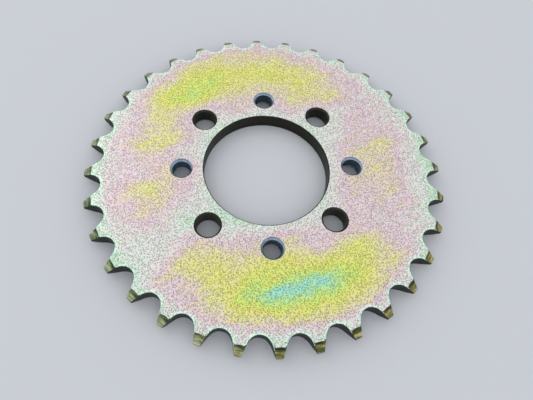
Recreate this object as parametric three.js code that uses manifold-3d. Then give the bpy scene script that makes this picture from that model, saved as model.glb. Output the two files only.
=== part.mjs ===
// Rear sprocket for a small motorcycle: one flat steel plate, cut with 32 chain teeth, a hub
// bore, four plain M8 clearance holes on a bolt circle, and four tapped M8 holes between them.
// Units are millimetres, +Z is up, and the origin is on the bore axis at the hub-side face.
import * as THREE from "three";
import { mergeVertices } from "three/addons/utils/BufferGeometryUtils.js";
import Module from "manifold-3d";

const wasm = await Module();
wasm.setup();

// Driving dimensions
const TEETH = 32;
const CHAIN_PITCH = 12.7;
const THICKNESS = 6.2;
const PITCH_RADIUS = CHAIN_PITCH / 2 / Math.sin(Math.PI / TEETH);
const TIP_RADIUS = 67.6;

// Tooth gap: a roller seat, an easier flank arc on each side, then straight flanks
const SEAT_RADIUS = 3.99;
const SEAT_HALF_ANGLE = THREE.MathUtils.degToRad(50);
const FLANK_RADIUS = 7;
const FLANK_HALF_ANGLE = THREE.MathUtils.degToRad(68);
const BLANK_REACH = 69;
const SEAT_STEPS = 5;
const FLANK_STEPS = 2;

// Tooth tips in side view, the same on both faces: the face first rolls off gently, as it
// does on a blanked tooth, and a turned chamfer then runs down to the tip
const ROLL_START = 62.9;
const ROLL_DEPTH = 0.55;
const CHAMFER_START = 64.4;
const CHAMFER_DEPTH = 2.5;

// Hub bore, and the plain bolt holes, which are spaced evenly
const BORE_RADIUS = 23.5;
const BORE_BREAK = 0.3;
const BORE_FACETS = 96;
const CLEARANCE_RADIUS = 4.25;
const CLEARANCE_CHAMFER = 0.65;
const CLEARANCE_FACETS = 32;
const CLEARANCE_CIRCLE_RADIUS = 31.9;
const CLEARANCE_BEARINGS = [46.3, 136.3, 226.3, 316.3];

// M8 tapped holes, at their minor diameter. They were drilled later, by hand, so each one
// has its own bearing in degrees and its own distance from the bore axis.
const TAPPED_RADIUS = 3.325;
const TAPPED_CHAMFER = 0.85;
const TAPPED_FACETS = 28;
const TAPPED_PLACES = [[0, 32.5], [88.3, 31.6], [180, 31.7], [270, 32.2]];
const OVERCUT = 1;

const plateFinish = new THREE.MeshStandardMaterial({
  color: 0xcdc9a6, roughness: 0.42, metalness: 0.75,
});

// A closed solid from a geometry's positions, with the collapsed triangles on an axis left out
function toSolid(geometry) {
  const bare = geometry.clone();
  bare.deleteAttribute("normal");
  bare.deleteAttribute("uv");
  const merged = mergeVertices(bare);
  const index = merged.index.array;
  const triangles = [];
  for (let i = 0; i < index.length; i += 3) {
    const [a, b, c] = index.slice(i, i + 3);
    if (a !== b && b !== c && c !== a) triangles.push(a, b, c);
  }
  return new wasm.Manifold(new wasm.Mesh({
    numProp: 3,
    vertProperties: Float32Array.from(merged.attributes.position.array),
    triVerts: Uint32Array.from(triangles),
  }));
}

function toGeometry(solid) {
  const mesh = solid.getMesh();
  const geometry = new THREE.BufferGeometry();
  geometry.setAttribute("position", new THREE.BufferAttribute(mesh.vertProperties, 3));
  geometry.setIndex(new THREE.BufferAttribute(mesh.triVerts, 1));
  geometry.computeVertexNormals();
  return geometry;
}

// One side of a tooth gap, from its bottom outwards: x along the gap's centre line, y across it
function gapSide() {
  const side = [];
  for (let i = 1; i <= SEAT_STEPS; i++) {
    const a = (SEAT_HALF_ANGLE * i) / SEAT_STEPS;
    side.push([PITCH_RADIUS - SEAT_RADIUS * Math.cos(a), SEAT_RADIUS * Math.sin(a)]);
  }
  const growth = FLANK_RADIUS - SEAT_RADIUS;
  const cx = PITCH_RADIUS + growth * Math.cos(SEAT_HALF_ANGLE);
  const cy = -growth * Math.sin(SEAT_HALF_ANGLE);
  for (let i = 1; i <= FLANK_STEPS; i++) {
    const t = i / FLANK_STEPS;
    const a = THREE.MathUtils.lerp(SEAT_HALF_ANGLE, FLANK_HALF_ANGLE, t);
    side.push([cx - FLANK_RADIUS * Math.cos(a), cy + FLANK_RADIUS * Math.sin(a)]);
  }
  const [x, y] = side.at(-1);
  side.push([BLANK_REACH, y + (BLANK_REACH - x) / Math.tan(FLANK_HALF_ANGLE)]);
  return side;
}

// The outline of all the teeth, anticlockwise, with a tooth centred on +X
function toothOutline() {
  const side = gapSide();
  const left = side.map(([x, y]) => [x, -y]).reverse();
  const gap = [...left, [PITCH_RADIUS - SEAT_RADIUS, 0], ...side];
  const shape = [];
  for (let k = 0; k < TEETH; k++) {
    const turn = ((k + 0.5) * 2 * Math.PI) / TEETH;
    const [c, s] = [Math.cos(turn), Math.sin(turn)];
    for (const [x, y] of gap) shape.push(new THREE.Vector2(c * x - s * y, s * x + c * y));
  }
  return new THREE.Shape(shape);
}

// A solid of revolution about +Z from [radius, height] pairs that start and end on the axis.
// The flats of its facets touch the true radius, and a flat is centred on +X.
function turned(profile, segments) {
  const grow = 1 / Math.cos(Math.PI / segments);
  const points = profile.map(([r, z]) => new THREE.Vector2(r * grow, z));
  const lathe = new THREE.LatheGeometry(points, segments, Math.PI / 2 + Math.PI / segments);
  lathe.rotateX(Math.PI / 2);
  return toSolid(lathe);
}

// The turned blank that limits the teeth: a tip cylinder, with a chamfer and a roll-off on
// each face
function tipLimits() {
  const slope = (CHAMFER_START - ROLL_START) / ROLL_DEPTH;
  const inner = ROLL_START - slope * OVERCUT;
  return turned([
    [0, -OVERCUT],
    [inner, -OVERCUT],
    [CHAMFER_START, ROLL_DEPTH],
    [TIP_RADIUS, CHAMFER_DEPTH],
    [TIP_RADIUS, THICKNESS - CHAMFER_DEPTH],
    [CHAMFER_START, THICKNESS - ROLL_DEPTH],
    [inner, THICKNESS + OVERCUT],
    [0, THICKNESS + OVERCUT],
  ], 2 * TEETH);
}

// A cutter for a through hole with a 45 degree chamfer at each face
function holeCutter(radius, chamfer, segments) {
  const mouth = radius + chamfer + OVERCUT;
  return turned([
    [0, -OVERCUT],
    [mouth, -OVERCUT],
    [radius, chamfer],
    [radius, THICKNESS - chamfer],
    [mouth, THICKNESS + OVERCUT],
    [0, THICKNESS + OVERCUT],
  ], segments);
}

// Holes cut at [bearing in degrees, distance from the bore axis]
function drill(plate, cutter, places) {
  let drilled = plate;
  for (const [bearing, distance] of places) {
    const a = THREE.MathUtils.degToRad(bearing);
    const at = [distance * Math.cos(a), distance * Math.sin(a), 0];
    drilled = drilled.subtract(cutter.translate(at));
  }
  return drilled;
}

function sprocketPlate() {
  const outline = toothOutline();
  const teeth = new THREE.ExtrudeGeometry(outline, { depth: THICKNESS, bevelEnabled: false });
  let plate = toSolid(teeth).intersect(tipLimits());
  plate = plate.subtract(holeCutter(BORE_RADIUS, BORE_BREAK, BORE_FACETS));
  const tap = holeCutter(TAPPED_RADIUS, TAPPED_CHAMFER, TAPPED_FACETS);
  plate = drill(plate, tap, TAPPED_PLACES);
  const clearanceDrill = holeCutter(CLEARANCE_RADIUS, CLEARANCE_CHAMFER, CLEARANCE_FACETS);
  const plainPlaces = CLEARANCE_BEARINGS.map((bearing) => [bearing, CLEARANCE_CIRCLE_RADIUS]);
  plate = drill(plate, clearanceDrill, plainPlaces);
  const mesh = new THREE.Mesh(toGeometry(plate), plateFinish);
  mesh.name = "sprocket_plate";
  return mesh;
}

const rearSprocket = new THREE.Group();
rearSprocket.add(sprocketPlate());

export default rearSprocket;
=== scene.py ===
"""A motorcycle's rear sprocket: one zinc-plated steel plate with 32 teeth, on a pale studio floor.

The plate's sizes and the camera's place are in millimetres until an object is made of them. The
frame's axes are used as they are: the bore's axis is Z, the underside is at Z = 0, and a tooth
points along +X.
"""
import math

import bpy
import numpy as np
from mathutils import Matrix, Vector
from mathutils.geometry import delaunay_2d_cdt


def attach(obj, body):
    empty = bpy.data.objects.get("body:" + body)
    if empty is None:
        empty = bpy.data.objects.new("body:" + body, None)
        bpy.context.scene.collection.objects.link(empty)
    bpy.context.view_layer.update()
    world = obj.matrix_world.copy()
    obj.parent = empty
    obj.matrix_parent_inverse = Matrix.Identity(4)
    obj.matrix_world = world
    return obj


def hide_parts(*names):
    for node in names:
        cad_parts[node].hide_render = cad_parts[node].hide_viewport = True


MM = 0.001

# The plate.
TEETH = 32
CHAIN_PITCH = 12.7
THICKNESS = 6.2
TOOTH_STEP = 2 * math.pi / TEETH
PITCH_RADIUS = CHAIN_PITCH / 2 / math.sin(TOOTH_STEP / 2)
TIP_RADIUS = 67.6

# The gap between two teeth, with its angles measured from its bottom.
SEAT_RADIUS = 3.99
SEAT_HALF_ANGLE = math.radians(50)
FLANK_RADIUS = 7
FLANK_HALF_ANGLE = math.radians(68)
TIP_CORNER_RADIUS = 0.35
SEAT_STEPS = 9
FLANK_STEPS = 4
STRAIGHT_STEPS = 3
CORNER_STEPS = 6
LAND_STEPS = 3

# The faces roll off towards the teeth, and the tips are chamfered.
ROLL_START = 62.9
ROLL_DEPTH = 0.55
ROLL_BLEND = 0.5
CHAMFER_START = 64.4
CHAMFER_DEPTH = 2.5
CHAMFER_BLEND = 0.15
ROLL_SLOPE = ROLL_DEPTH / (CHAMFER_START - ROLL_START)
CHAMFER_SLOPE = (CHAMFER_DEPTH - ROLL_DEPTH) / (TIP_RADIUS - CHAMFER_START)
EDGE_ROUND = 0.18
EDGE_RINGS = 6

# The holes, with their places as a bearing in degrees and a distance from the axis.
BORE_RADIUS = 23.5
BORE_BREAK = 0.3
BORE_COLUMNS = 256
PLAIN_RADIUS = 4.25
PLAIN_CHAMFER = 0.65
PLAIN_COLUMNS = 80
PLAIN_CIRCLE_RADIUS = 31.9
PLAIN_PLACES = [(bearing, PLAIN_CIRCLE_RADIUS) for bearing in (46.3, 136.3, 226.3, 316.3)]
TAPPED_RADIUS = 3.325
TAPPED_CHAMFER = 0.85
TAPPED_COLUMNS = 96
TAPPED_ROWS = 64
TAPPED_PLACES = [(0, 32.5), (88.3, 31.6), (180, 31.7), (270, 32.2)]
HOLE_EDGE_ROUND = 0.1
HOLE_EDGE_RINGS = 4

# The thread. Its crest and its root are flat for these parts of its pitch.
THREAD_PITCH = 1.25
THREAD_DEPTH = 0.675
THREAD_CREST = 1 / 4
THREAD_ROOT = 1 / 8

# The points inside the faces: rows across each tooth, and a net over the flat.
LAST_ROW_RADIUS = 65.6
ROW_SPACING = 0.8
ROW_MARGIN = 0.45
NET_SPACING = 4
NET_MARGIN = 1.5

# The camera, as it stood over the plate.
CAMERA_PLACE = (-18.31, -81.98, 143.04)
CAMERA_HEADING = math.radians(8.46)
CAMERA_TILT = math.radians(26.71)
CAMERA_ROLL = math.radians(6.58)
LENS = 28.83
SENSOR_WIDTH = 36
CAMERA_SHIFT = (0.0375, 0.001)

# The floor, the light and the world. Lengths are in metres here, and the power is in watts.
FLOOR_HALF_SIZE = 2
FLOOR_COLOUR = (0.62, 0.63, 0.65, 1)
FLOOR_ROUGHNESS = 0.9
KEY_LIGHT_PLACE = (-0.75, 0.6, 0.75)
KEY_LIGHT_SIZE = 0.8
KEY_LIGHT_POWER = 1.3
WORLD_COLOUR = (0.93, 0.96, 1, 1)
WORLD_STRENGTH = 0.96

# The plate's finishes, by the numbers of their material slots.
FACE, TIP_CHAMFER, GAP_WALL, BORE_WALL, HOLE_WALL, COUNTERSINK, THREAD = range(7)


def bend(radius, start, blend):
    """How far a slope of 1 has come from start outwards, eased in over blend on each side."""
    eased = np.clip(radius - start + blend, 0, 2 * blend)
    return eased**2 / (4 * blend) + np.maximum(radius - start - blend, 0)


def face_drop(radius):
    """How far the face lies below its flat middle."""
    roll = ROLL_SLOPE * bend(radius, ROLL_START, ROLL_BLEND)
    return roll + (CHAMFER_SLOPE - ROLL_SLOPE) * bend(radius, CHAMFER_START, CHAMFER_BLEND)


def face_slope(radius):
    step = 0.01
    return (face_drop(radius + step) - face_drop(radius - step)) / (2 * step)


def unit(vectors):
    return vectors / np.linalg.norm(vectors, axis=-1, keepdims=True)


def directions(turn):
    """The flat unit vectors that lie at the given turns from X."""
    return np.stack([np.cos(turn), np.sin(turn)], 1)


def polar(bearing, radius):
    turn = math.radians(bearing)
    return np.array([radius * math.cos(turn), radius * math.sin(turn)])


def turned(points, angle):
    cosine, sine = math.cos(angle), math.sin(angle)
    return points @ np.array([[cosine, sine], [-sine, cosine]])


# The outline.


def hollow_arc(centre, radius, start, end, steps):
    """A concave arc, with the direction out of the metal at each point."""
    turn = np.linspace(start, end, steps + 1)
    out = np.stack([np.cos(turn), -np.sin(turn)], 1)
    return np.asarray(centre) - radius * out, out


def round_arc(centre, radius, start, end, steps):
    """A convex arc, with the direction out of the metal at each point."""
    turn = np.linspace(start, end, steps + 1)
    out = directions(turn)
    return np.asarray(centre) + radius * out, out


def gap_side():
    """One side of a gap, from its bottom to the middle of the tooth, about the gap's own centre line."""
    seat = hollow_arc((PITCH_RADIUS, 0), SEAT_RADIUS, 0, SEAT_HALF_ANGLE, SEAT_STEPS)
    reach = FLANK_RADIUS - SEAT_RADIUS
    centre = (
        PITCH_RADIUS + reach * math.cos(SEAT_HALF_ANGLE),
        -reach * math.sin(SEAT_HALF_ANGLE),
    )
    flank = hollow_arc(centre, FLANK_RADIUS, SEAT_HALF_ANGLE, FLANK_HALF_ANGLE, FLANK_STEPS)
    top, out = flank[0][-1], flank[1][-1]
    along = np.array([math.sin(FLANK_HALF_ANGLE), math.cos(FLANK_HALF_ANGLE)])
    # The straight ends where the rounded corner has its centre a corner radius inside the tip circle.
    base = top - TIP_CORNER_RADIUS * out
    lift = base @ along
    inner = TIP_RADIUS - TIP_CORNER_RADIUS
    length = math.sqrt(lift**2 - base @ base + inner**2) - lift
    steps = np.linspace(0, length, STRAIGHT_STEPS + 1)[1:-1, None]
    straight = top + steps * along, np.repeat([out], len(steps), 0)
    centre = base + length * along
    turn = math.atan2(centre[1], centre[0])
    corner = round_arc(centre, TIP_CORNER_RADIUS, -FLANK_HALF_ANGLE, turn, CORNER_STEPS)
    land = round_arc((0, 0), TIP_RADIUS, turn, TOOTH_STEP / 2, LAND_STEPS)
    parts = [seat, [array[1:] for array in flank], straight, corner, [array[1:] for array in land]]
    return [np.concatenate(arrays) for arrays in zip(*parts)]


def outline():
    """The whole toothed outline, anticlockwise, with the direction out of the metal at each point."""
    side = gap_side()
    flip = np.array([1, -1])
    gap = [np.concatenate([(array * flip)[:0:-1], array[:-1]]) for array in side]
    turns = (np.arange(TEETH) + 0.5) * TOOTH_STEP
    return [np.concatenate([turned(array, turn) for turn in turns]) for array in gap]


class Skin:
    """The plate's surface as it grows: points, their normals, and faces with their finish."""

    def __init__(self):
        self.points, self.normals, self.faces, self.finish = [], [], [], []
        self.count = 0

    def ring(self, points, normals):
        self.points.append(points)
        self.normals.append(unit(normals))
        self.count += len(points)
        return np.arange(self.count - len(points), self.count)

    def strips(self, rings, finishes):
        """Joins closed rings of equal length, from the upper face down, with the metal on their left."""
        for upper, lower, finish in zip(rings, rings[1:], finishes):
            quads = [upper, lower, np.roll(lower, -1), np.roll(upper, -1)]
            self.add(np.stack(quads, 1), np.broadcast_to(finish, len(upper)))

    def add(self, faces, finish):
        self.faces.extend(faces.tolist())
        self.finish.append(finish)


def edge_rings(skin, points, out):
    """The rings over the toothed edge, from the upper face to the lower one.

    A ring's turn over the edge is a right angle on the face and 0 on the wall, and its side is 1
    above the plate's middle and -1 below it.
    """
    rings = []
    turns = np.linspace(math.pi / 2, 0, EDGE_RINGS)
    levels = [(turn, 1) for turn in turns] + [(0, 0)] + [(turn, -1) for turn in turns[::-1]]
    for turn, side in levels:
        place = points - EDGE_ROUND * (1 - math.cos(turn)) * out
        radius = np.linalg.norm(place, axis=1)
        depth = face_drop(radius) + EDGE_ROUND * (1 - math.sin(turn))
        height = THICKNESS / 2 + side * (THICKNESS / 2 - depth)
        normal = np.column_stack([out, np.zeros(len(out))])
        if side:
            lean = place / radius[:, None] * face_slope(radius)[:, None]
            sloped = unit(np.column_stack([lean, np.full(len(place), side)]))
            normal = math.cos(turn) * normal + math.sin(turn) * sloped
        rings.append(skin.ring(np.column_stack([place, height]), normal))
    return rings


def rounded_profile(corners, rounding):
    """A bored profile with its corners rounded: (radius, height) points and their normals.

    Its first and last corners only give the directions in which it starts and ends.
    """
    corners = [np.array(corner, float) for corner in corners]
    points, normals = [], []
    for before, corner, after in zip(corners, corners[1:], corners[2:]):
        start = math.atan2(*(corner - before)[::-1]) % (2 * math.pi)
        end = math.atan2(*(after - corner)[::-1]) % (2 * math.pi)
        end += 2 * math.pi if end < start else 0
        heading = np.array([math.cos(start), math.sin(start)])
        begin = corner - heading * rounding * math.tan((end - start) / 2)
        centre = begin - rounding * np.array([math.sin(start), -math.cos(start)])
        for turn in np.linspace(start, end, HOLE_EDGE_RINGS):
            normal = np.array([math.sin(turn), -math.cos(turn)])
            points.append(centre + rounding * normal)
            normals.append(normal)
    return np.array(points), np.array(normals)


def round_hole(skin, centre, radius, chamfer, finish, columns):
    """A plain chamfered hole. Returns its first and last rings, which lie on the faces."""
    mouth = radius + chamfer
    beyond = mouth + chamfer
    corners = [
        (beyond, THICKNESS),
        (mouth, THICKNESS),
        (radius, THICKNESS - chamfer),
        (radius, chamfer),
        (mouth, 0),
        (beyond, 0),
    ]
    profile, leans = rounded_profile(corners, HOLE_EDGE_ROUND)
    around = directions(-np.linspace(0, 2 * math.pi, columns, endpoint=False))
    rings = []
    for (reach, height), (outward, upward) in zip(profile, leans):
        place = np.column_stack([centre + reach * around, np.full(columns, height)])
        normal = np.column_stack([outward * around, np.full(columns, upward)])
        rings.append(skin.ring(place, normal))
    skin.strips(rings, [finish] * len(rings))
    return rings[0], rings[-1]


def thread_radius(turn, height):
    """The tapped hole's radius: a right-hand thread that runs out in the two countersinks."""
    phase = (height / THREAD_PITCH - turn / (2 * math.pi)) % 1
    from_groove = np.abs(phase - 0.5) * 2
    slope_width = 1 - THREAD_CREST - THREAD_ROOT
    groove = np.clip((1 - THREAD_CREST - from_groove) / slope_width, 0, 1)
    mouth = TAPPED_RADIUS + TAPPED_CHAMFER
    cone = mouth - np.minimum(height, THICKNESS - height)
    return np.maximum(TAPPED_RADIUS + THREAD_DEPTH * groove, cone)


def tapped_hole(skin, centre):
    """A threaded hole. Returns its first and last rings, which lie on the faces."""
    turn = -np.linspace(0, 2 * math.pi, TAPPED_COLUMNS, endpoint=False)
    around = directions(turn)
    sideways = np.stack([-np.sin(turn), np.cos(turn)], 1)
    rim = centre + (TAPPED_RADIUS + TAPPED_CHAMFER + HOLE_EDGE_ROUND / 2) * around
    up = np.repeat([[0, 0, 1]], TAPPED_COLUMNS, 0)
    first = skin.ring(np.column_stack([rim, np.full(TAPPED_COLUMNS, THICKNESS)]), up)
    rings = [first]
    step = HOLE_EDGE_ROUND / 4
    swing = step / TAPPED_RADIUS
    for height in np.linspace(THICKNESS - step, step, TAPPED_ROWS):
        radius = thread_radius(turn, height)
        rise = (thread_radius(turn, height + step) - thread_radius(turn, height - step)) / (2 * step)
        sway = (thread_radius(turn + swing, height) - thread_radius(turn - swing, height)) / (2 * step)
        normal = np.column_stack([sway[:, None] * sideways - around, rise])
        place = np.column_stack([centre + radius[:, None] * around, np.full(TAPPED_COLUMNS, height)])
        rings.append(skin.ring(place, normal))
    last = skin.ring(np.column_stack([rim, np.zeros(TAPPED_COLUMNS)]), -up)
    rings.append(last)
    heights = np.linspace(THICKNESS, 0, len(rings) - 1)
    deep = np.minimum(heights, THICKNESS - heights) > TAPPED_CHAMFER
    skin.strips(rings, np.where(deep, THREAD, COUNTERSINK))
    return first, last


def fill_points(gap_points):
    """Points inside the faces: rows across each tooth, and a sparse net over the flat."""
    radii = np.linalg.norm(gap_points, axis=1)
    angles = np.arctan2(gap_points[:, 1], gap_points[:, 0])
    row_radii = [
        ROLL_START - ROLL_BLEND,
        ROLL_START,
        ROLL_START + ROLL_BLEND,
        CHAMFER_START - CHAMFER_BLEND,
        CHAMFER_START,
        CHAMFER_START + CHAMFER_BLEND,
        LAST_ROW_RADIUS,
    ]
    points = []
    for radius in row_radii:
        half = TOOTH_STEP / 2 - np.interp(radius, radii, angles) - ROW_MARGIN / radius
        count = max(2, round(2 * half * radius / ROW_SPACING))
        across = np.linspace(-half, half, count)
        for tooth in range(TEETH):
            points.append(radius * directions(tooth * TOOTH_STEP + across))
    holes = [(0, 0, BORE_RADIUS + BORE_BREAK)]
    holes += [(*polar(*place), PLAIN_RADIUS + PLAIN_CHAMFER) for place in PLAIN_PLACES]
    holes += [(*polar(*place), TAPPED_RADIUS + TAPPED_CHAMFER) for place in TAPPED_PLACES]
    grid = np.arange(-TIP_RADIUS, TIP_RADIUS, NET_SPACING)
    net = np.stack(np.meshgrid(grid, grid), -1).reshape(-1, 2)
    net = net[np.linalg.norm(net, axis=1) < PITCH_RADIUS - SEAT_RADIUS - NET_MARGIN]
    for x, y, radius in holes:
        net = net[np.hypot(net[:, 0] - x, net[:, 1] - y) > radius + NET_MARGIN]
    return np.concatenate([*points, net])


def caps(skin, loops, gap_points):
    """The two faces, between the outline's and the holes' rings, which come as (upper, lower) pairs."""
    inner = fill_points(gap_points)
    radius = np.linalg.norm(inner, axis=1)
    lean = inner / radius[:, None] * face_slope(radius)[:, None]
    drop = face_drop(radius)
    ones = np.ones(len(inner))
    upper = skin.ring(np.column_stack([inner, THICKNESS - drop]), np.column_stack([lean, ones]))
    lower = skin.ring(np.column_stack([inner, drop]), np.column_stack([lean, -ones]))
    above = np.concatenate([*[pair[0] for pair in loops], upper])
    below = np.concatenate([*[pair[1] for pair in loops], lower])
    everything = np.concatenate(skin.points)
    flat = everything[above][:, :2]
    edges = []
    owner = np.full(len(above), -1)
    start = 0
    for number, (ring, _) in enumerate(loops):
        index = np.arange(start, start + len(ring))
        edges += np.stack([index, np.roll(index, -1)], 1).tolist()
        owner[index] = number
        start += len(ring)
    inside_only = 1
    merge_distance = 1e-6
    _, _, triangles, origins, _, _ = delaunay_2d_cdt(
        [Vector(point) for point in flat], edges, [], inside_only, merge_distance)
    source = [found[0] for found in origins]
    faces = np.array([[source[corner] for corner in triangle] for triangle in triangles])
    owners = owner[faces]
    in_hole = (owners[:, 0] > 0) & (owners == owners[:, :1]).all(1)
    faces = faces[~in_hole]
    middle = np.linalg.norm(flat[faces].mean(1), axis=1)
    finish = np.where(middle > CHAMFER_START, TIP_CHAMFER, FACE)
    skin.add(above[faces], finish)
    skin.add(below[faces][:, ::-1], finish)


def build_skin():
    """The plate's whole surface. The outer half of each rounded edge has its face's finish."""
    skin = Skin()
    points, out = outline()
    rings = edge_rings(skin, points, out)
    rim = np.where(np.linalg.norm(points, axis=1) > CHAMFER_START, TIP_CHAMFER, FACE)
    outer = EDGE_RINGS // 2
    wall = len(rings) - 1 - 2 * outer
    skin.strips(rings, [rim] * outer + [GAP_WALL] * wall + [rim] * outer)
    loops = [(rings[0], rings[-1])]
    loops.append(round_hole(skin, np.zeros(2), BORE_RADIUS, BORE_BREAK, BORE_WALL, BORE_COLUMNS))
    for place in PLAIN_PLACES:
        centre = polar(*place)
        loops.append(round_hole(skin, centre, PLAIN_RADIUS, PLAIN_CHAMFER, HOLE_WALL, PLAIN_COLUMNS))
    for place in TAPPED_PLACES:
        loops.append(tapped_hole(skin, polar(*place)))
    caps(skin, loops, gap_side()[0])
    return skin


def add_object(name, data):
    """Puts a mesh, light or camera in the scene."""
    item = bpy.data.objects.new(name, data)
    bpy.context.scene.collection.objects.link(item)
    return item


def build_plate():
    skin = build_skin()
    mesh = bpy.data.meshes.new("sprocket_plate_skin")
    mesh.from_pydata((np.concatenate(skin.points) * MM).tolist(), [], skin.faces)
    for material in plate_materials():
        mesh.materials.append(material)
    mesh.polygons.foreach_set("material_index", np.concatenate(skin.finish).astype(np.int32))
    mesh.polygons.foreach_set("use_smooth", np.ones(len(mesh.polygons), bool))
    mesh.normals_split_custom_set_from_vertices(np.concatenate(skin.normals).tolist())
    mesh.update()
    return add_object("sprocket_plate_skin", mesh)


# Materials.


def linear(*srgb):
    """An sRGB colour, from 0 to 255, in the linear numbers that a shader takes."""
    value = np.array(srgb) / 255
    return (*np.where(value <= 0.04045, value / 12.92, ((value + 0.055) / 1.055) ** 2.4), 1)


class Graph:
    """A material and short calls for the nodes that the finishes share. Lengths are in millimetres."""

    def __init__(self, name, metallic, roughness):
        self.material = bpy.data.materials.new(name)
        self.material.use_nodes = True
        self.tree = self.material.node_tree
        self.shader = self.tree.nodes["Principled BSDF"]
        self.shader.inputs["Metallic"].default_value = metallic
        self.shader.inputs["Roughness"].default_value = roughness
        coordinates = self.tree.nodes.new("ShaderNodeTexCoord").outputs["Object"]
        self.place = self.vector("SCALE", coordinates, scale=1 / MM)
        self.x, self.y, self.z = self.split(self.place)

    def node(self, kind, inputs, **settings):
        node = self.tree.nodes.new(kind)
        for name, value in settings.items():
            setattr(node, name, value)
        for key, value in inputs.items():
            if isinstance(value, bpy.types.NodeSocket):
                self.tree.links.new(value, node.inputs[key])
            else:
                node.inputs[key].default_value = value
        return node

    def math(self, operation, *values):
        return self.node("ShaderNodeMath", dict(enumerate(values)), operation=operation).outputs[0]

    def add(self, first, *rest):
        for value in rest:
            first = self.math("ADD", first, value)
        return first

    def times(self, *values):
        return self.math("MULTIPLY", *values)

    def vector(self, operation, *values, scale=None):
        inputs = dict(enumerate(values))
        if scale is not None:
            inputs["Scale"] = scale
        node = self.node("ShaderNodeVectorMath", inputs, operation=operation)
        return node.outputs["Value" if operation in ("LENGTH", "DOT_PRODUCT") else "Vector"]

    def split(self, vector):
        return self.node("ShaderNodeSeparateXYZ", {0: vector}).outputs[:3]

    def join(self, x, y, z=0.0):
        return self.node("ShaderNodeCombineXYZ", {0: x, 1: y, 2: z}).outputs[0]

    def noise(self, vector, scale, detail=2.0, roughness=0.5, output="Fac"):
        inputs = {"Vector": vector, "Scale": scale, "Detail": detail, "Roughness": roughness}
        return self.node("ShaderNodeTexNoise", inputs).outputs[output]

    def rescale(self, value, low, high, to_low=0.0, to_high=1.0, smooth=True):
        inputs = {"Value": value, "From Min": low, "From Max": high, "To Min": to_low, "To Max": to_high}
        kind = "SMOOTHSTEP" if smooth else "LINEAR"
        return self.node("ShaderNodeMapRange", inputs, interpolation_type=kind).outputs[0]

    def swing(self, noise, reach):
        """The usual range of a noise, 0.25 to 0.75, brought to lie between -reach and reach."""
        return self.rescale(noise, 0.25, 0.75, -reach, reach, smooth=False)

    def blob(self, across, width):
        """A soft band, 1 in the middle and spent at about twice its width."""
        scaled = self.math("DIVIDE", across, width)
        return self.math("EXPONENT", self.times(self.times(scaled, scaled), -1.0))

    def patch(self, vector, centre, half_length, half_width, turn):
        """A soft ellipse, 1 in the middle, and the same at every height."""
        endless = 1e6
        inputs = {
            "Vector": vector,
            "Location": (*centre, 0),
            "Rotation": (0, 0, math.radians(turn)),
            "Scale": (half_length, half_width, endless),
        }
        own = self.node("ShaderNodeMapping", inputs, vector_type="TEXTURE").outputs[0]
        return self.math("EXPONENT", self.times(self.vector("DOT_PRODUCT", own, own), -1.0))

    def ramp(self, value, stops):
        node = self.node("ShaderNodeValToRGB", {0: value})
        elements = node.color_ramp.elements
        while len(elements) < len(stops):
            elements.new(1.0)
        for element, (place, colour) in zip(elements, stops):
            element.position = place
            element.color = linear(*colour)
        return node.outputs[0]

    def mix(self, factor, first, second, blend="MIX"):
        """Mixes two colours, which the node takes as inputs 6 and 7 and gives as output 2."""
        inputs = {0: factor, 6: first, 7: second}
        return self.node("ShaderNodeMix", inputs, data_type="RGBA", blend_type=blend).outputs[2]

    def mix_values(self, factor, first, second):
        """Mixes two numbers, which the node takes as inputs 2 and 3."""
        return self.node("ShaderNodeMix", {0: factor, 2: first, 3: second}).outputs[0]

    def stretched(self, turn, length, width):
        """Coordinates in which marks that lie at turn degrees from X are length by width."""
        inputs = {
            "Vector": self.place,
            "Rotation": (0, 0, math.radians(turn)),
            "Scale": (length, width, length),
        }
        return self.node("ShaderNodeMapping", inputs, vector_type="TEXTURE").outputs[0]

    def wrapped(self, along, across):
        """Coordinates in which marks are along round the plate, and across outwards and upwards."""
        round_plate = self.times(self.bearing(), TIP_RADIUS / along)
        outwards = self.math("DIVIDE", self.radius(), across)
        upwards = self.math("DIVIDE", self.z, across)
        return self.join(round_plate, outwards, upwards)

    def radius(self):
        return self.vector("LENGTH", self.join(self.x, self.y))

    def bearing(self):
        return self.math("ARCTAN2", self.y, self.x)

    def from_gap(self):
        """The distance into the metal from the seat of the nearest gap."""
        steps = self.math("FRACT", self.math("DIVIDE", self.bearing(), TOOTH_STEP))
        turn = self.times(self.math("SUBTRACT", steps, 0.5), TOOTH_STEP)
        radius = self.radius()
        along = self.math("SUBTRACT", self.times(radius, self.math("COSINE", turn)), PITCH_RADIUS)
        aside = self.times(radius, self.math("SINE", turn))
        return self.math("SUBTRACT", self.vector("LENGTH", self.join(along, aside)), SEAT_RADIUS)

    def bump(self, height, depth):
        """Raises the surface by depth millimetres where height is 1."""
        inputs = {"Height": height, "Distance": depth * MM}
        normal = self.node("ShaderNodeBump", inputs).outputs[0]
        self.tree.links.new(normal, self.shader.inputs["Normal"])

    def colour(self, value):
        self.tree.links.new(value, self.shader.inputs["Base Color"])

    def roughness(self, value):
        self.tree.links.new(value, self.shader.inputs["Roughness"])


# The passivated film's tints, as it gets thicker.
FILM = (
    (0.00, (180, 212, 180)),
    (0.10, (203, 216, 198)),
    (0.19, (211, 212, 204)),
    (0.28, (214, 206, 199)),
    (0.36, (215, 193, 198)),
    (0.43, (216, 198, 182)),
    (0.52, (216, 208, 154)),
    (0.64, (216, 213, 118)),
    (0.76, (202, 215, 110)),
    (0.88, (184, 216, 136)),
    (1.00, (154, 213, 188)),
)
FILM_BASE = 0.24

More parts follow.
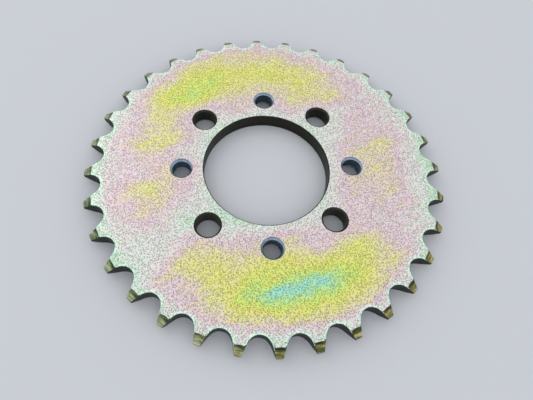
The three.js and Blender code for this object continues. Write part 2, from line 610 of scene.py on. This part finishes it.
# Where the film is thicker or thinner on the upper face: centre, half length, half width, turn, rise.
PATCHES = (
    ((-34, 33), 17, 10, 45, 0.30),
    ((-12, 46), 22, 15, 10, 0.36),
    ((14, 45), 18, 13, -12, 0.27),
    ((24, 38), 14, 7, 25, 0.10),
    ((-16, 43), 12, 4, 30, 0.12),
    ((-4, 50), 14, 4, 30, -0.08),
    ((-27, 34), 8, 5, 25, 0.16),
    ((22, 31), 14, 5, 15, 0.10),
    ((-42, 0), 16, 28, 0, 0.13),
    ((-40, 13), 16, 4.5, 8, 0.17),
    ((-41, -7), 14, 4, 16, 0.15),
    ((-42, -16), 14, 5, 25, 0.08),
    ((-45, -36), 13, 8, -45, -0.08),
    ((-25, -37), 15, 8, 20, 0.28),
    ((-14, -46), 18, 7, 25, 0.14),
    ((4, -44), 26, 14, 6, 0.36),
    ((28, -38), 14, 11, 30, 0.30),
    ((6, -52), 24, 6, 4, 0.16),
    ((1, -47.5), 14, 4, 6, 0.28),
    ((18, -44.5), 9, 4.5, 18, 0.28),
    ((42, 2), 14, 30, 0, 0.16),
    ((47, 11), 11, 5, 18, 0.20),
    ((48, -4), 10, 6, 15, 0.12),
    ((34, -14), 9, 14, -15, 0.05),
    ((42, -38), 10, 8, 45, 0.10),
    ((60, 4), 6, 22, 0, -0.10),
    ((12, 21), 6, 4, 0, 0.10),
    ((-30, -24), 5, 2.5, 20, -0.18),
    ((-16, -20), 4, 3, -45, -0.06),
)

# How much the patches wander, in millimetres, and the film's least and greatest thickness underneath.
PATCH_DRIFT = 9
UNDERSIDE_FILM = (0.15, 0.8)

# Where the film is thinner on both faces, by how much, and how far that reaches.
BORE_THINNING, BORE_THINNING_WIDTH = -0.13, 3.6
RIM_THINNING, RIM_THINNING_START, RIM_THINNING_END = -0.13, 57.5, 63.0
GAP_THINNING, GAP_THINNING_START, GAP_THINNING_END = -0.14, 1.9, 0.1
HOLE_THINNING, HOLE_THINNING_RADIUS = -0.10, 7.5

# The film's diagonal streaks, and its clouds, with the scale of their noise and their reach in thickness.
STREAK_TURN = 35
STREAK_LENGTH = 16
STREAK_WIDTH = 1.6
STREAK_REACH = 0.07
CLOUDS = ((0.1, 0.06), (0.35, 0.03))

# The painted highlight along the gaps' edges, how far coloured specks show, and how deep the fine marks
# are.
GAP_EDGE_HIGHLIGHT_COLOUR = (216, 240, 220)
SPECK_STRENGTH = 0.3
MARK_DEPTH = 0.03

# The tip chamfers' colours, from dark to light.
CHAMFER_GOLD = (
    (0.0, (34, 48, 28)),
    (0.3, (78, 86, 42)),
    (0.6, (152, 138, 74)),
    (1.0, (222, 212, 172)),
)
CHAMFER_GREY = (
    (0.0, (48, 66, 50)),
    (0.4, (118, 142, 106)),
    (1.0, (206, 220, 190)),
)


def patched_film(graph):
    """The film's thickness: patches on the upper face, whose edges wander, and broad noise underneath."""
    drift = graph.noise(graph.place, scale=0.06, output="Color")
    drift = graph.vector("SUBTRACT", drift, (0.5, 0.5, 0.5))
    warped = graph.vector("ADD", graph.place, graph.vector("SCALE", drift, scale=PATCH_DRIFT))
    upper = FILM_BASE
    for centre, half_length, half_width, turn, rise in PATCHES:
        patch = graph.patch(warped, centre, half_length, half_width, turn)
        upper = graph.add(upper, graph.times(patch, rise))
    under = graph.noise(warped, scale=0.035, detail=1.0)
    under = graph.rescale(under, 0.3, 0.7, *UNDERSIDE_FILM)
    middle = THICKNESS / 2
    is_upper = graph.rescale(graph.z, low=middle - 0.1, high=middle + 0.1)
    return graph.mix_values(is_upper, under, upper)


def thinned(graph, film):
    """The film, thinner at the bore, the rim, the tooth gaps and the plain holes."""
    radius = graph.radius()
    bore_side = graph.blob(graph.math("SUBTRACT", radius, BORE_RADIUS), BORE_THINNING_WIDTH)
    rim_side = graph.rescale(radius, RIM_THINNING_START, RIM_THINNING_END)
    gap_edge = graph.rescale(graph.from_gap(), GAP_THINNING_START, GAP_THINNING_END)
    film = graph.add(film, graph.times(bore_side, BORE_THINNING), graph.times(rim_side, RIM_THINNING),
                     graph.times(gap_edge, GAP_THINNING))
    reach = HOLE_THINNING_RADIUS
    for place in PLAIN_PLACES:
        around = graph.patch(graph.place, polar(*place), reach, reach, 0)
        film = graph.add(film, graph.times(around, HOLE_THINNING))
    return film


def film_thickness(graph):
    """How thick the film is, on the scale of FILM."""
    film = patched_film(graph)
    streaks = graph.noise(graph.stretched(STREAK_TURN, STREAK_LENGTH, STREAK_WIDTH), scale=1.0)
    film = graph.add(film, graph.swing(streaks, STREAK_REACH))
    film = thinned(graph, film)
    for scale, reach in CLOUDS:
        clouds = graph.noise(graph.place, scale, detail=1.0)
        film = graph.add(film, graph.swing(clouds, reach))
    return film


def face_finish():
    """Satin zinc plate under a passivated film, whose thickness gives the tint, with a fine grain and a
    painted highlight along the gaps' edges.
    """
    graph = Graph("zinc_plate_face", metallic=0.7, roughness=0.4)
    tint = graph.ramp(film_thickness(graph), FILM)
    # Painted highlight: the tint is lightened towards a pale mint-white over the last 1.3 mm before each
    # gap's edge.
    gap_edge = graph.rescale(graph.from_gap(), low=1.3, high=0.1, to_high=0.7)
    tint = graph.mix(gap_edge, tint, linear(*GAP_EDGE_HIGHLIGHT_COLOUR))
    specks = graph.noise(graph.place, scale=1.8, detail=1.0, output="Color")
    tint = graph.mix(SPECK_STRENGTH, tint, specks, "OVERLAY")
    pits = graph.node("ShaderNodeTexVoronoi", {"Vector": graph.place, "Scale": 1.9}).outputs["Distance"]
    fine = graph.noise(graph.place, scale=3.0, detail=1.0)
    grain = graph.add(graph.times(fine, 0.35), graph.times(pits, 0.7))
    shade = graph.rescale(grain, low=0.16, high=0.60, to_low=0.16, to_high=1.26, smooth=False)
    graph.colour(graph.mix(1.0, tint, graph.join(shade, shade, shade), "MULTIPLY"))
    graph.roughness(graph.rescale(grain, low=0.3, high=0.7, to_low=0.46, to_high=0.34, smooth=False))
    graph.bump(grain, MARK_DEPTH)
    return graph.material


def chamfer_finish():
    """The teeth's turned tip chamfers: dark at their start, with turning lines, and greyer towards -X."""
    graph = Graph("zinc_tip_chamfer", metallic=0.7, roughness=0.38)
    lines = graph.noise(graph.wrapped(along=9.0, across=0.22), scale=1.0, roughness=0.6)
    broad = graph.noise(graph.wrapped(along=3.0, across=1.2), scale=1.0, roughness=0.6)
    past_start = graph.math("SUBTRACT", graph.radius(), CHAMFER_START)
    tone = graph.add(
        graph.rescale(past_start, low=0.4, high=1.7, to_low=0.12, to_high=0.5),
        graph.rescale(lines, low=0.3, high=0.7, to_low=-0.22, to_high=0.22),
        graph.rescale(broad, low=0.3, high=0.7, to_low=-0.25, to_high=0.25),
    )
    greyness = graph.rescale(graph.x, low=15, high=-50, to_high=0.6)
    gold = graph.ramp(tone, CHAMFER_GOLD)
    grey = graph.ramp(tone, CHAMFER_GREY)
    graph.colour(graph.mix(greyness, gold, grey))
    graph.bump(lines, MARK_DEPTH)
    return graph.material


def wall_finish(name, dark, light, mark_length):
    """A cut wall, much darker than the face: partly the wall's own olive plating and partly painted shade
    of the gaps and holes, with fine marks of the given length up the wall.
    """
    graph = Graph(name, metallic=0.65, roughness=0.42)
    place = graph.wrapped(along=0.35, across=mark_length)
    marks = graph.noise(place, scale=1.0, detail=3.0, roughness=0.65)
    tone = graph.rescale(marks, low=0.3, high=0.75)
    graph.colour(graph.ramp(tone, ((0.0, dark), (1.0, light))))
    graph.bump(marks, MARK_DEPTH)
    return graph.material


def bare_finish(name, dark, light):
    """Steel cut after the plating, bluish grey, with its marks finer along the hole's axis."""
    graph = Graph(name, metallic=0.85, roughness=0.35)
    marks = graph.noise(graph.vector("MULTIPLY", graph.place, (1.0, 1.0, 6.0)), scale=1.2)
    graph.colour(graph.ramp(marks, ((0.3, dark), (0.7, light))))
    return graph.material


def plate_materials():
    """The plate's materials, in the order of their slots."""
    return [
        face_finish(),
        chamfer_finish(),
        # The walls' dark colours are partly their own olive plating and partly painted shade in the tooth
        # gaps, the bore and the holes.
        wall_finish("zinc_gap_wall", (8, 14, 13), (34, 40, 30), mark_length=6.0),
        wall_finish("zinc_bore_wall", (12, 15, 9), (46, 46, 28), mark_length=0.4),
        wall_finish("zinc_hole_wall", (20, 24, 18), (66, 68, 50), mark_length=0.4),
        bare_finish("bare_countersink", (108, 126, 148), (172, 188, 206)),
        # The thread is the countersink's bare steel made far darker: painted shade inside the tapped
        # hole.
        bare_finish("bare_thread_painted_shade", (26, 38, 50), (70, 84, 98)),
    ]


# The studio.


def add_floor():
    size = FLOOR_HALF_SIZE
    mesh = bpy.data.meshes.new("floor")
    corners = [(-size, -size, 0), (size, -size, 0), (size, size, 0), (-size, size, 0)]
    mesh.from_pydata(corners, [], [(0, 1, 2, 3)])
    material = bpy.data.materials.new("floor_paper")
    material.use_nodes = True
    shader = material.node_tree.nodes["Principled BSDF"]
    shader.inputs["Base Color"].default_value = FLOOR_COLOUR
    shader.inputs["Roughness"].default_value = FLOOR_ROUGHNESS
    mesh.materials.append(material)
    floor = add_object("floor", mesh)


def add_key_light():
    """A square softbox that faces the plate."""
    data = bpy.data.lights.new("key_light", "AREA")
    data.size = KEY_LIGHT_SIZE
    data.energy = KEY_LIGHT_POWER
    light = add_object("key_light", data)
    light.location = KEY_LIGHT_PLACE
    light.rotation_euler = (-Vector(KEY_LIGHT_PLACE)).to_track_quat("-Z", "Y").to_euler()


def add_world():
    world = bpy.data.worlds.new("studio")
    world.use_nodes = True
    background = world.node_tree.nodes["Background"]
    background.inputs["Color"].default_value = WORLD_COLOUR
    background.inputs["Strength"].default_value = WORLD_STRENGTH
    bpy.context.scene.world = world


def add_camera():
    data = bpy.data.cameras.new("camera")
    data.lens = LENS
    data.sensor_width = SENSOR_WIDTH
    data.shift_x, data.shift_y = CAMERA_SHIFT
    camera = add_object("camera", data)
    place = Matrix.Translation(Vector(CAMERA_PLACE) * MM)
    heading = Matrix.Rotation(-CAMERA_HEADING, 4, "Z")
    tilt = Matrix.Rotation(CAMERA_TILT, 4, "X")
    roll = Matrix.Rotation(CAMERA_ROLL, 4, "Z")
    camera.matrix_world = place @ heading @ tilt @ roll
    bpy.context.scene.camera = camera


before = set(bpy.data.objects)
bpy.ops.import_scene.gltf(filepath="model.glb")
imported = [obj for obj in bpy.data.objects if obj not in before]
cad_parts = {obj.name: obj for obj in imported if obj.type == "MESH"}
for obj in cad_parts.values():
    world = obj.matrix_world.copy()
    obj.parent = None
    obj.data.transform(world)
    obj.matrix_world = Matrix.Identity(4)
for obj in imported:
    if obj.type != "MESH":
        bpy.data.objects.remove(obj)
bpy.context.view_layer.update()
add_camera()
add_world()
add_floor()
add_key_light()
bpy.context.scene.view_settings.view_transform = "Standard"

plate = build_plate()
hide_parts("sprocket_plate")
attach(plate, "root")
